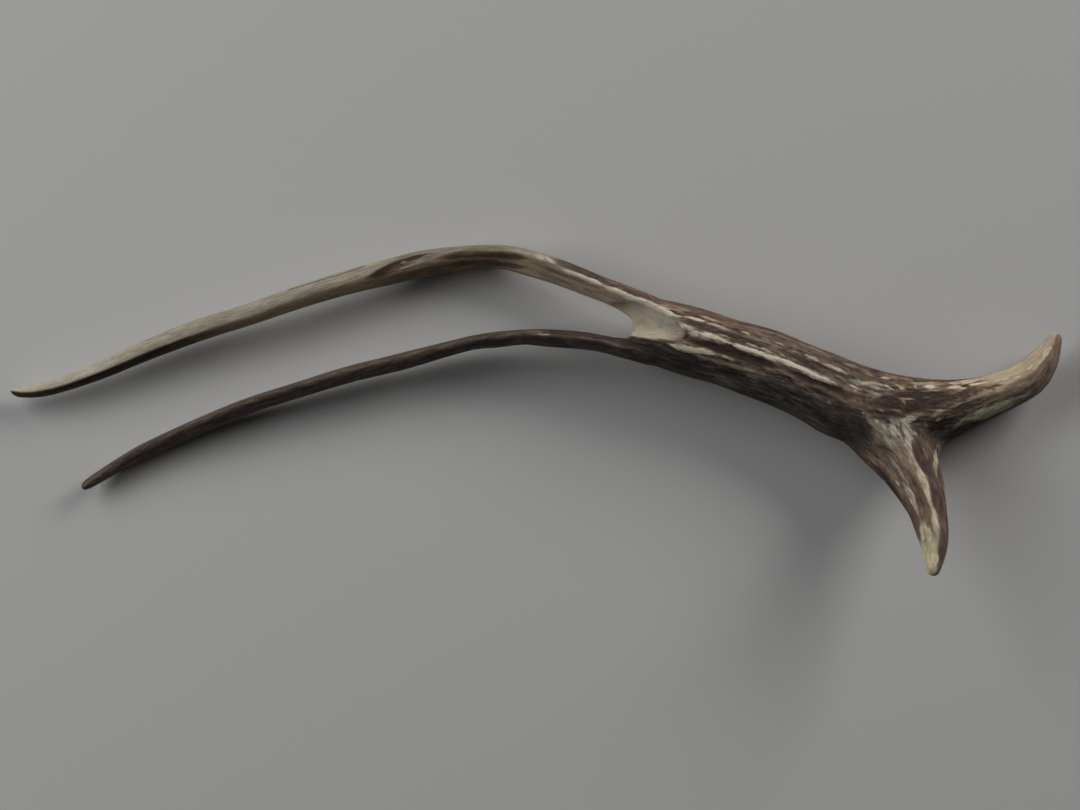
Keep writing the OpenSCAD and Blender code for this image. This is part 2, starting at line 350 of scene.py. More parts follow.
def scoop_distance(points):
    """Distance of each point from the body that the scoop's balls sweep, below 0 inside it."""
    best = np.full(len(points), FAR)
    for a, b in zip(SCOOP[:-1], SCOOP[1:]):
        a, b = np.array(a), np.array(b)
        along = b[:3] - a[:3]
        t = np.clip(((points - a[:3]) @ along) / (along @ along), 0, 1)
        d = np.linalg.norm(points - (a[:3] + t[:, None] * along), axis=1) - (a[3] + t * (b[3] - a[3]))
        best = np.minimum(best, d)
    return best


# Marks on the skin, read from the picture. Each row: the picture's points that it runs through
# (across, down, across, down ...), half width in pixels, height in mm, brightness, and coolness
# (0 reddish, 1 greenish grey, 2 olive, 2.5 yellow).
MARKS = [
    # Beam: edges and thin brown lines
    ([655, 299, 668, 302.5, 680, 305.5, 690, 308.5, 700, 311.5, 712, 316, 724, 320.5, 736, 323.5,
      748, 326.5], 3.2, 0, 0.13, 0),
    ([670, 307, 683, 310, 694, 314], 0.8, -0.05, 0.14, 0),
    ([740, 323, 755, 327.5, 770, 332, 785, 337, 800, 343, 815, 349, 828, 354.5, 845, 361], 3.2, 0, 0.15,
      0.3),
    ([722, 323, 732, 326, 742, 328], 1.6, -0.04, 0.17, 0.7),
    ([796, 345, 806, 349, 815, 352, 826, 357], 2.6, -0.06, 0.12, 0.6),
    ([824, 357, 832, 361, 839, 365], 2, -0.05, 0.1, 0),
    ([700, 318, 712, 321.5, 722, 326], 0.8, -0.05, 0.14, 0.1),
    ([752, 332, 766, 334, 780, 339, 794, 344], 1.6, -0.05, 0.13, 0),
    ([756, 340, 764, 343, 774, 347], 1.1, -0.06, 0.11, 0.2),
    ([846, 358, 856, 362, 868, 366], 2, 0, 0.17, 1),
    ([674, 301.5, 686, 305, 698, 308.5], 1.2, 0, 0.2, 1.4),
    # Beam: furrows
    ([679, 320, 690, 322.5, 700, 326, 710, 328.5, 720, 331.5, 730, 335, 740, 338.5, 750, 341, 760, 344.5,
      772, 347.5], 3.4, -0.24, 0.07, 0.7),
    ([772, 347.5, 783, 351, 795, 355, 805, 360, 816, 364, 826, 368, 836, 373, 846, 376], 3.4, -0.22, 0.075,
      0.4),
    ([684, 338.5, 692, 341, 702, 344.5, 712, 347.5, 722, 350, 734, 353.5, 746, 356.5, 758, 360.5, 770, 365,
      782, 368.5], 4.2, -0.28, 0.035, 0.3),
    ([782, 368.5, 794, 372.5, 806, 378, 816, 382, 828, 385, 840, 390, 852, 398], 4.2, -0.24, 0.045, 0.3),
    ([658, 343, 672, 348, 686, 355, 700, 361, 712, 365, 722, 369], 2.8, -0.12, 0.05, 0.2),
    # Beam: pale ridges
    ([679, 321.5, 684, 326.5, 690, 330.5, 697, 333, 704, 335.5], 3.3, 0.14, 0.72, 0.7),
    ([692, 331, 702, 334.5, 711, 337.5, 719, 340, 727, 342.5, 736, 345], 3, 0.16, 0.8, 0.6),
    ([727, 342, 738, 346, 747, 349, 757, 353, 767, 356.5, 777, 359.5, 787, 363, 797, 367, 806, 371.5,
      815, 375.5, 825, 379, 834, 382.5, 841, 387], 2.4, 0.18, 0.92, 0.6),
    ([666, 343, 678, 346.5, 690, 349, 701, 351, 711, 353.5, 718, 356.5], 2.9, 0.14, 0.88, 0.5),
    ([717, 354.5, 726, 357.5, 737, 361.5], 1.2, 0.06, 0.36, 0.3),
    ([692, 354.5, 705, 357.5, 718, 361.5, 730, 365, 738, 368, 750, 372], 2.2, 0.05, 0.21, 0.8),
    ([741, 367, 750, 369.5, 760, 373, 770, 377], 1.3, 0.06, 0.27, 0.6),
    ([744, 373, 752, 377.5, 760, 381], 1.1, 0.04, 0.19, 0.5),
    ([682, 317, 690, 318.5, 700, 320.5, 708, 323], 1.9, 0.12, 0.6, 0.5),
    ([704, 322.5, 714, 325, 724, 328.5, 734, 332.5], 2, 0.1, 0.42, 0.1),
    ([699, 315.5, 707, 318, 715, 321, 723, 324], 1.3, 0.06, 0.42, 0.2),
    ([717, 333.5, 724, 335, 731, 338], 1, 0.07, 0.42, 0.1),
    ([741, 331, 747, 333, 752, 335.5], 1.5, 0.08, 0.46, 0.8),
    ([744, 342, 752, 345, 759, 347.5], 1, 0.08, 0.4, 0.4),
    ([759, 348, 766, 350.5, 774, 353], 1.3, 0.1, 0.42, 0.2),
    ([776, 353.5, 783, 355.5, 788, 357.5], 0.9, 0.06, 0.42, 0.2),
    ([770, 343, 779, 344, 788, 347.5], 1.5, 0.08, 0.33, 0.2),
    ([758, 336, 766, 340, 772, 344], 1.3, 0.07, 0.34, 0.1),
    ([787, 349.5, 795, 352, 800, 354], 1, 0.05, 0.3, 0.1),
    ([806, 344.5, 813, 348, 818, 351], 1.2, 0.05, 0.28, 0.1),
    ([802, 353, 808, 356.5, 815, 359.5, 823, 363.5], 1.5, 0.13, 0.5, 0.6),
    ([821, 363, 830, 366.5, 839, 370, 847, 374.5], 1.7, 0.12, 0.48, 0.3),
    ([848, 384, 855, 388, 864, 391.5], 1.1, 0.1, 0.52, 0.1),
    ([840, 362, 850, 365, 860, 368.5], 1.5, 0.05, 0.26, 0.4),
    ([791, 380, 798, 384, 805, 387], 1.6, 0.05, 0.15, 0.6),
    ([825, 401, 833, 404.5], 1.2, 0.06, 0.22, 0.9),
    ([812, 385, 822, 390, 832, 397], 1.6, 0.04, 0.13, 0.1),
    # Beam: dark low side
    ([640, 345, 655, 349, 670, 355, 685, 362, 700, 368, 715, 374], 4.4, 0, 0.05, 1.3),
    ([722, 374, 740, 382, 760, 388, 780, 392, 800, 398], 4, -0.03, 0.08, 1.4),
    ([800, 396, 812, 400, 826, 408, 840, 418], 4, -0.03, 0.07, 1.2),
    ([832, 414, 842, 422, 850, 432], 4, 0, 0.055, 0.2),
    ([846, 416, 856, 426, 862, 436], 2.4, -0.05, 0.055, 0.8),
    # Head: pale patch above
    ([846, 379, 858, 382, 870, 384, 882, 387, 892, 390], 4.6, 0.05, 0.34, 1.6),
    ([862, 389, 872, 393, 882, 395.5], 2, 0.05, 0.38, 1),
    ([878, 377.5, 886, 378, 894, 380], 1.5, 0.05, 0.42, 0.5),
    ([862, 383.5, 869, 384.5], 1.1, 0.05, 0.5, 0.9),
    ([882, 383.5, 888, 386, 893, 389], 1, 0.06, 0.52, 0.8),
    ([893, 384, 902, 386], 0.9, 0.05, 0.52, 0.2),
    ([897, 387.5, 906, 388.5], 1.7, 0.05, 0.42, 0.4),
    ([873, 392, 874, 397, 870, 404, 865, 404], 1.7, 0.05, 0.33, 0.7),
    ([894, 392, 902, 394.5], 0.8, -0.05, 0.1, 0.6),
    ([880, 381.5, 890, 384.5], 0.8, -0.05, 0.14, 0.1),
    ([889, 381, 899, 382.5], 0.7, -0.04, 0.17, 0.3),
    ([864, 387, 867, 389], 1, -0.05, 0.17, 0.7),
    ([884, 390, 890, 391], 0.8, -0.04, 0.18, 0.7),
    ([903, 384, 910, 386.5, 913, 389], 1.8, -0.04, 0.15, 0.1),
    ([862, 371, 870, 374, 877, 377], 2.6, 0.02, 0.2, 0),
    ([860, 376.5, 868, 378.5, 875, 379.5], 0.9, -0.05, 0.1, 0.2),
    ([880, 371, 892, 375.5, 904, 378.5, 916, 381], 1.3, -0.03, 0.22, 0.2),
    ([852, 376, 862, 379.5, 872, 381.5], 1, -0.05, 0.12, 0.3),
    ([858, 386, 866, 386, 874, 389], 0.9, -0.05, 0.13, 0.5),
    ([876, 384, 882, 388, 889, 388], 1, -0.05, 0.13, 0.2),
    ([872, 387, 880, 391.5], 1, 0.05, 0.46, 0.8),
    ([853, 389, 858, 393], 1.3, 0.03, 0.3, 1.2),
    ([905, 381.5, 918, 383.5, 932, 383.5, 946, 383], 2.6, 0.02, 0.32, 0.4),
    ([944, 383.5, 958, 382.5, 972, 380.5, 986, 377.5], 3.4, 0.02, 0.46, 0.3),
    # Head: dark middle
    ([866, 403, 890, 404, 920, 402, 956, 399], 8.5, -0.04, 0.05, 0.5),
    ([892, 393, 905, 394, 918, 393, 932, 394, 946, 396, 958, 396], 2.7, -0.14, 0.045, 0.4),
    ([916, 404, 928, 403, 940, 401, 952, 401], 4.6, -0.12, 0.05, 0.2),
    ([876, 398, 886, 398.5, 893, 402, 888, 408], 3, -0.1, 0.06, 0.9),
    ([899, 401, 903, 405, 906, 411], 1.8, -0.08, 0.09, 0.2),
    ([868, 411, 874, 412, 882, 413.5], 2.3, -0.08, 0.09, 0),
    ([889, 414.5, 897, 417], 2.4, -0.08, 0.08, 0),
    ([857, 396, 864, 398, 866, 408], 2.4, -0.06, 0.09, 0.2),
    ([896, 397, 905, 399, 916, 399], 1, 0.05, 0.24, 0.3),
    ([900, 400, 904, 402, 906, 406], 0.9, 0.04, 0.26, 0.2),
    ([922, 397.5, 932, 397], 0.9, 0.05, 0.22, 0.1),
    ([892, 409, 899, 411, 904, 414], 1.4, 0.05, 0.28, 0.1),
    ([876, 409, 886, 412], 1.3, 0.04, 0.26, 0.4),
    ([911, 413, 920, 415, 926, 418], 1.6, 0.04, 0.24, 0.2),
    # Head: cream stripe and side tine's keel
    ([914, 386, 917, 386.5], 2.2, 0.05, 0.46, 0.2),
    ([921, 387, 930, 387, 940, 387], 2, 0.07, 0.66, 0.6),
    ([918, 391, 930, 390.5, 941, 390], 0.9, 0.03, 0.32, 0.1),
    ([946, 388, 957, 387, 967, 388], 2.1, 0.07, 0.66, 0.3),
    ([966, 385, 975, 384, 985, 383, 991, 382], 1.2, 0.07, 0.62, 0.3),
    ([946, 390.5, 949, 390], 0.8, -0.03, 0.15, 0.3),
    ([956, 390, 959, 389.5], 0.8, -0.03, 0.15, 0.3),
    ([991, 382, 1000, 380.5, 1008, 377.5, 1016, 374.5, 1024, 371], 1.5, 0.08, 0.6, 0.4),
    ([1012, 379, 1018, 377, 1025, 374], 1.1, 0.05, 0.5, 0.5),
    ([1024, 371.5, 1032, 367.5, 1039, 361.5, 1045, 354.5, 1050, 347, 1054, 340.5], 2.1, 0.09, 0.68, 0.4),
    ([1026, 375, 1034, 371, 1041, 365], 1.4, 0.04, 0.5, 0),
    # Side tine: brown flank
    ([980, 386.5, 988, 387.5, 996, 385.5, 1006, 385], 1.7, -0.08, 0.11, 0),
    ([1008, 386, 1018, 384, 1028, 380, 1038, 373, 1046, 365, 1052, 356, 1057, 346], 2.6, -0.04, 0.21, 0),
    ([1020, 391, 1032, 385, 1042, 377, 1050, 367, 1056, 357, 1060, 349], 3.6, 0, 0.17, 0.5),
    ([1000, 397, 1014, 397, 1026, 394, 1036, 388, 1044, 381], 3.6, 0, 0.12, 0.4),
    ([990, 405, 1002, 405, 1014, 403], 3, 0, 0.1, 0.2),
    ([1034, 396, 1044, 388, 1052, 378, 1058, 366, 1061, 354], 3.6, 0, 0.12, 1.6),
    ([947, 396, 958, 394.5, 968, 391, 977, 388.5], 2.3, -0.12, 0.075, 0.5),
    ([947, 409, 958, 405, 966, 401], 1.3, 0.08, 0.3, 0.4),
    ([962, 402, 972, 399, 982, 396, 992, 394, 1004, 391, 1012, 389], 1.5, 0.07, 0.24, 0.3),
    ([968, 396, 976, 394], 1.8, 0.03, 0.19, 0),
    ([990, 390, 996, 388.5], 0.9, -0.04, 0.12, 0),
    ([947, 417, 955, 412.5, 964, 408, 974, 405, 984, 403.5], 3.8, -0.12, 0.055, 0.2),
    ([932, 417, 939, 412, 946, 411], 2.4, 0.06, 0.34, 0.1),
    ([934, 421, 942, 418], 1.8, 0.04, 0.3, 0.1),
    ([934, 431, 940, 427], 1.8, -0.06, 0.08, 0),
    ([955, 421, 948, 427, 944, 434], 2.2, -0.06, 0.085, 0.6),
    ([954, 427, 964, 421, 976, 416, 990, 412, 1002, 408, 1016, 402, 1030, 393], 6.5, 0.02, 0.39, 1.4),
    # Head: branching pale patch
    ([862, 410, 876, 423, 890, 437, 901, 452, 909, 464], 7, 0.02, 0.24, 0.9),
    ([888, 419, 902, 424, 908, 440, 912, 456], 7, 0.03, 0.34, 0.9),
    ([905, 420, 906, 430, 908, 438, 909, 446], 4.6, 0.07, 0.42, 0.9),
    ([901, 420, 910, 419, 918, 417], 3.6, 0.05, 0.66, 0.9),
    ([909, 446, 911, 453, 915, 461, 920, 472], 4, 0.1, 0.46, 0.9),
    ([912, 431, 915.5, 433, 917, 437], 1.8, 0.05, 0.36, 1),
    ([890, 420.5, 892.5, 427, 896, 433, 899, 439], 4, 0.06, 0.47, 0.8),
    ([901, 421, 901, 428, 903, 436, 905, 443], 1.3, -0.07, 0.13, 0.1),
    ([903, 446, 906, 452], 0.9, -0.04, 0.2, 0.3),
    ([907.5, 457, 908.5, 459], 1, -0.04, 0.17, 0.8),
    ([916, 423, 919, 426], 1.7, -0.06, 0.12, 0.9),
    ([885, 436, 891, 443, 897, 451, 902, 458], 3.4, 0.04, 0.32, 0.8),
    ([874, 418, 878, 424.5], 1.4, 0.06, 0.5, 1),
    ([862, 411, 864, 415], 1.2, 0.06, 0.42, 0.9),
    ([866, 417, 872, 423, 879, 430, 886, 435], 2, 0.05, 0.31, 0.4),
    ([881, 423, 887, 430], 1.6, 0.04, 0.36, 0.5),
    ([893, 433, 894.5, 435], 1.1, 0.04, 0.52, 0.1),
    ([872, 443, 880, 447, 889, 452, 895, 460], 2.6, -0.05, 0.1, 0.3),
    ([920, 430, 926, 434, 928, 440], 3, 0.02, 0.2, 0.1),
    ([924, 422, 927, 427], 1.5, -0.05, 0.12, 0.2),
    # Raised tine: keel and right flank
    ([915, 461, 919, 470, 922.5, 478, 926, 487, 929, 496, 931.5, 505, 934, 515, 935.8, 523, 937, 532,
      937.3, 543], 3.5, 0.17, 0.54, 0.5),
    ([912.5, 441, 915, 449, 920, 457, 924, 465, 928, 473, 931, 481], 3.8, -0.12, 0.05, 0.1),
    ([916, 436, 922, 449, 928, 463, 932, 476], 5.4, -0.08, 0.06, 0.1),
    ([922, 430, 930, 438, 936, 446], 4.2, -0.04, 0.08, 0.3),
    ([930, 480, 933.5, 489, 937, 497, 940, 506, 942, 515, 943.5, 525], 6, -0.1, 0.06, 0.1),
    ([943, 520, 944, 530, 943.8, 540, 942.5, 549, 940.5, 558, 938.5, 567, 937.5, 572], 4.6, -0.04, 0.08,
      0.1),
    ([942, 482, 944.5, 491, 947, 500, 949, 510], 1.2, 0.03, 0.28, 0.1),
    ([947.5, 512, 949, 522, 949, 532], 0.9, 0, 0.22, 0.2),
    ([922, 446, 926, 453, 929, 461], 1.5, 0.03, 0.15, 0),
    ([938, 445, 936, 455, 935.5, 463, 936, 470, 937, 478], 3.4, 0.05, 0.5, 2),
    ([931, 450, 932.5, 458, 933, 465], 1.1, -0.05, 0.1, 0.4),
    # Raised tine: left side
    ([897, 463, 905, 471, 912, 480, 918, 490, 922, 499, 926, 508, 929, 517, 930, 524], 3.2, -0.1, 0.12,
      0.1),
    ([893, 468, 897, 475], 1.3, 0.04, 0.3, 0.4),
    ([896, 480, 900, 484.5, 902.5, 488], 1.3, 0.07, 0.48, 0.8),
    ([903, 481, 907, 488, 911, 495, 915, 503], 2.5, 0.06, 0.52, 0.7),
    ([909, 497, 913, 504, 917, 511, 919.5, 517], 1.5, 0.09, 0.58, 0.6),
    ([866, 458, 874, 466, 883, 477, 892, 488, 900, 499, 906, 509], 4.8, -0.05, 0.045, 0.8),
    ([878, 452, 888, 463, 898, 476], 3.4, -0.03, 0.13, 1),
    ([889, 458, 896, 466, 903, 476, 910, 487], 1.6, 0.03, 0.26, 0.9),
    ([904, 504, 909, 513, 913, 522, 917, 532], 3.6, -0.03, 0.08, 0.5),
    ([921, 519, 924, 528, 927, 538, 929, 547], 5.2, 0.02, 0.54, 2.2),
    ([928.5, 519, 929.5, 523], 1, -0.04, 0.2, 0.3),
    ([923.5, 539, 926, 541.5], 1, -0.03, 0.22, 0.1),
    ([929, 547, 930.5, 556, 932, 565, 933, 571], 5.4, 0.02, 0.72, 2.4),
    # Long prong
    ([364, 279.5, 372, 277, 381, 274, 390, 271, 402, 265.5, 415, 261], 2.6, -0.02, 0.12, 0),
    ([366, 277.5, 377, 272.5, 386, 268.5, 394, 264.5, 401, 261.5, 409, 258.5, 416, 256.5, 424, 254.5,
      432, 252.5], 2.9, -0.06, 0.035, 0.1),
    ([398, 270, 410, 266.5, 420, 263, 430, 259.5], 1.1, 0.05, 0.36, 0.2),
    ([400, 263.5, 407, 261.5], 1.1, 0.02, 0.22, 0.5),
    ([285, 291, 300, 286.5, 318, 281, 338, 275, 355, 269.5, 368, 265], 1.1, -0.03, 0.1, 0.3),
    ([363, 272, 369, 271], 0.8, -0.02, 0.24, 0),
    ([545, 256, 550, 259.5, 556, 263.5], 2.2, 0.03, 0.54, 0.6),
    ([532, 254, 540, 257, 546, 261], 2.8, 0.02, 0.48, 0.7),
    # The pale ridge along the long prong's arris: its own pale bone, made brighter still by a painted
    # highlight.
    ([558, 267, 566, 271, 575, 274.5, 585, 278.5, 596, 283, 606, 287], 2.3, 0.1, 0.8, 0.5),
    ([600, 284.5, 608, 288, 617, 291.5, 627, 295.3, 637, 299.5, 648, 304, 659, 308.6, 671, 313.5,
      682, 317.5], 2.6, 0.1, 1, 0.5),
    ([561, 265, 572, 267.8, 582, 271.5, 592, 275.8, 603, 280], 3.2, -0.05, 0.085, 0.3),
    ([604, 279.5, 611, 282, 622, 286], 2.4, -0.03, 0.17, 0),
    ([618, 287.5, 632, 292, 643, 295.5, 655, 300, 664, 303], 3, -0.05, 0.085, 0),
    ([434, 259.5, 445, 256.8, 460, 255, 480, 254.5, 500, 255, 516, 256.5, 532, 260], 3.2, -0.02, 0.085,
      0.1),
    ([440, 267, 455, 264.5, 470, 263.5, 490, 263.5, 510, 265, 528, 268], 3.4, 0, 0.105, 0.3),
    ([528, 262, 545, 267.5, 560, 273, 580, 281, 600, 289], 1.6, 0, 0.24, 0),
    ([536, 272, 560, 281, 585, 290.5, 605, 297.5], 1.4, 0, 0.29, 0.2),
    ([622, 285.5, 628, 286.5], 1, -0.04, 0.1, 0.6),
    ([655, 304, 665, 306.5, 678, 309.5, 690, 313], 1.8, 0.03, 0.3, 0.1),
    # Short prong
    ([520, 331, 532, 331.5, 550, 332], 1.5, 0, 0.2, 0),
    ([455, 352, 470, 347, 488, 342.5, 505, 340, 520, 339.5], 2, 0, 0.055, 0.6),
    ([536, 334, 545, 334.5, 552, 335], 0.8, 0.03, 0.32, 0.3),
    ([556, 331.5, 572, 333, 584, 335], 2.6, -0.02, 0.06, 0.3),
    ([584, 335, 600, 337, 616, 339, 632, 341], 2.4, -0.02, 0.05, 0.4),
    ([590, 340, 602, 342, 614, 345, 626, 349], 1.4, 0.05, 0.11, 0.6),
    ([636, 342, 646, 343.5, 656, 346], 1.8, 0, 0.08, 0),
    ([655, 338, 664, 340.5, 672, 342.5], 1.1, 0.03, 0.2, 0.3),
]
MARK_ENDS = 6.0      # a mark narrows over so many half widths at its ends,
MOST_END = 0.45      # but over no more than this share of its length
END_START = -0.1     # the narrowing begins this share of its span beyond the end
WIDTHS = (0.40, 0.65)                  # half widths at a mark's end, and what its middle has more
STRENGTHS = (0.45, 0.55)               # and the same for how strongly it covers
MARK_EDGE = (2.0, 0.15)                # half widths at which the cover is none and full
MARK_MARGIN = 0.5    # points are looked at so far beyond twice a mark's half width
SEARCH = 2.2         # pixels around a mark's point in which its place on the skin is looked for
SAME_SURFACE = 1.2   # skin so far below the highest there still counts as the one seen
LEAST_FACING = 0.05  # least cosine between the seen skin's normal and the way to the camera
WANDER = ((2.6, 0.12), (0.8, 0.06))    # wavelength and size of the wander of the marks' edges
MARK_TONE = (0.15, 0.6)                # covers at which a mark's own tone is absent and full
UNMARKED_TONE, UNMARKED_COOL = 0.4, 0.3


def polyline_place(points, line):
    """Distance of each point from a polyline, and how far along it the nearest place is."""
    best = np.full(len(points), FAR)
    along = np.zeros(len(points))
    passed = 0.0
    for a, b in zip(line[:-1], line[1:]):
        way = b - a
        length = np.linalg.norm(way)
        raw = ((points - a) @ way) / length
        t = np.clip(raw, 0, length)
        d = np.linalg.norm(points - (a + (t / length)[:, None] * way), axis=1)
        nearer = d < best
        best = np.where(nearer, d, best)
        along = np.where(nearer, passed + t, along)
        passed += length
    return best, along, passed


def picture_place(points):
    """Where points appear in the picture, in pixels from its top left corner."""
    scale = (CAMERA_HEIGHT - PLANE_HEIGHT) / (CAMERA_HEIGHT - points[:, 2]) / PIXEL
    across = PICTURE[0] / 2 + (points[:, 0] - CAMERA_XY[0]) * scale
    down = PICTURE[1] / 2 - (points[:, 1] - CAMERA_XY[1]) * scale
    return np.column_stack([across, down])


def lay_marks(points, normals):
    """The marks' lines laid on the skin that the camera sees."""
    toward = np.array([*CAMERA_XY, CAMERA_HEIGHT]) - points
    facing = (normals * toward).sum(1) > LEAST_FACING * np.linalg.norm(toward, axis=1)
    seen = points[facing]
    tree = KDTree(len(seen))
    for k, place in enumerate(picture_place(seen)):
        tree.insert((*place, 0), k)
    tree.balance()
    lines = []
    for pixels, *_ in MARKS:
        line = []
        for pixel in zip(pixels[::2], pixels[1::2]):
            near = [(gap, k) for _, k, gap in tree.find_range((*pixel, 0), SEARCH)]
            near = near or [(0, tree.find((*pixel, 0))[1])]
            top = max(seen[k, 2] for _, k in near)
            line.append(seen[min(found for found in near if seen[found[1], 2] > top - SAME_SURFACE)[1]])
        lines.append(np.array(line))
    return lines


def mark_covers(points, lines):
    """How strongly each mark covers the points near it: about 1 on its line, 0 outside."""
    shift = np.zeros_like(points)
    for k, (wavelength, size) in enumerate(WANDER):
        for axis in range(3):
            shift[:, axis] += size * lattice_noise(points / wavelength, EDGE_SEED + 3 * k + axis)
    moved = points + shift
    for line, (_, half_pixels, *_) in zip(lines, MARKS):
        half_width = half_pixels * PIXEL
        reach = 2 * half_width + MARK_MARGIN
        near = np.all((points > line.min(0) - reach) & (points < line.max(0) + reach), axis=1)
        index = np.where(near)[0]
        d, along, length = polyline_place(moved[index], line)
        end = min(MARK_ENDS * half_width, MOST_END * length)
        middle = smooth(np.minimum(along, length - along), END_START * end, end)
        width = half_width * (WIDTHS[0] + WIDTHS[1] * middle)
        yield index, (STRENGTHS[0] + STRENGTHS[1] * middle) * smooth(d / width, *MARK_EDGE)


# Streaks of grain. Columns: how far they are drawn out along the limb and across it, in mm
COARSE_BARK, FINE_BARK, PRONG_RELIEF = (19.0, 1.55), (8.0, 0.62), (14.0, 0.9)
LONG_GRAIN, SHORT_GRAIN = (12.0, 0.5), (10.0, 0.5)
COARSE_STEEPNESS = 1.8     # cuts the coarse ridges off flat
COARSE_SHARE = 0.75
FINE_SHARE = 0.35
PEARL_SIZE = 1.3
PEARL_SHARE = 0.35
PRONG_DEPTH = 0.035
# Shares of the bark's relief that are worn away at the tips and hidden by a mark
TIP_WORN = 0.85
MARK_HIDES = 0.8


# Areas of the skin. The last two values of each smooth are where the area is absent and where it is
# full: places along, heights and distances in mm, radii of a limb, or degrees round it.
def regions(points, at):
    """How far each point is carved away, on a prong, or near a tip."""
    beam, tine = at["beam"], at["tine"]
    x = points[:, 0]
    scoop = smooth(scoop_distance(points), 0.75, 0.2) * smooth(x, 26.5, 24.5)
    gap_end = smooth(beam["out"], 0.93, 0.82) * smooth(x, 19, 16.5)
    prong = np.clip(at["long"]["share"] + at["short"]["share"], 0, 1) * smooth(beam["s"], 9, 1)
    side_tip = smooth(beam["s"], 66, 80) * beam["share"]
    raised_tip = smooth(tine["s"], 28, 36) * tine["share"]
    return {"carved": np.maximum(scoop, gap_end), "prong": prong, "tips": np.maximum(side_tip, raised_tip)}


def bark_relief(points, at):
    """Ridges and furrows of the bark, in about -1 to 1."""
    beam, tine = at["beam"], at["tine"]
    total = np.zeros(len(points))
    for k, limb in enumerate((beam, tine)):
        coarse = streaks(limb, *COARSE_BARK, BARK_SEED + k)
        fine = streaks(limb, *FINE_BARK, FINE_SEED + k)
        share = limb["share"] / (beam["share"] + tine["share"] + TINY)
        total += share * (COARSE_SHARE * np.clip(coarse * COARSE_STEEPNESS, -1, 1) + FINE_SHARE * fine)
    pearls = lattice_noise(points / PEARL_SIZE, PEARL_SEED)
    pearls = pearls * smooth(points[:, 0], 44, 54) * smooth(points[:, 0], 76, 66)
    return total + PEARL_SHARE * pearls


def sculpt(points, at, lines):
    """Height added to the skin at each point."""
    where = regions(points, at)
    bark = (1 - where["carved"]) * (1 - where["prong"]) * (1 - TIP_WORN * where["tips"])
    marks = np.zeros(len(points))
    covered = np.zeros(len(points))
    for (index, cover), (_, _, rise, _, _) in zip(mark_covers(points, lines), MARKS):
        marks[index] += cover * (rise - marks[index])
        covered[index] = np.maximum(covered[index], cover)
    height = BARK_DEPTH * bark * bark_relief(points, at) * (1 - MARK_HIDES * covered) + marks
    height += PRONG_DEPTH * where["prong"] * streaks(at["long"], *PRONG_RELIEF, PRONG_SEED)
    return height


# Surfaces. Columns: tone, coolness and polish. The tone is the square root of the brightness.
SURFACES = {
    "bark": (0.40, 0.35, 0.12),
    "tine": (0.43, 0.1, 0.4),
    "long inner": (0.66, 0.2, 0.75),
    "long outer": (0.575, 0.8, 0.75),
    "band": (0.28, 0.05, 0.3),
    "short": (0.30, 0.6, 0.5),
    "short inner": (0.30, 0.5, 0.5),
    "short rim": (0.31, 1.8, 0.6),
    "carved": (0.685, 0.7, 0.85),
    "pink": (0.66, 0.1, 0.85),
    "green": (0.62, 1.7, 0.85),
    "scoop rim": (0.34, 0.3, 0.3),
    "side tip": (0.45, 0.15, 0.6),
    "side top": (0.70, 0.2, 0.9),
    "tine tip": (0.76, 2.5, 0.95),
}
# Spots on the scoop: middle, radius and how strongly they cover what is under them
SPOTS = {"pink": ((19.7, 14.3, 7.5), 2.6, 0.6), "green": ((21.8, 14.1, 8.0), 2.2, 0.7)}
SPOT_HEART = 0.6     # radius of a spot's even middle
RIM_COVER = 0.8
BAND_RAGGED = 2.5    # how far the grain draws the bark band's end out
BAND_SLANT = 4.0     # how much further along it begins on the far side of its face
RIM_INSIDE = 0.45    # the short prong's pale rim lies so far inside its arris,
RIM_OUTSIDE = 0.55   # and the scoop's dark rim so far outside the scoop
SIDE_TOP_ANGLE = 48  # degrees round the side tine where it is palest


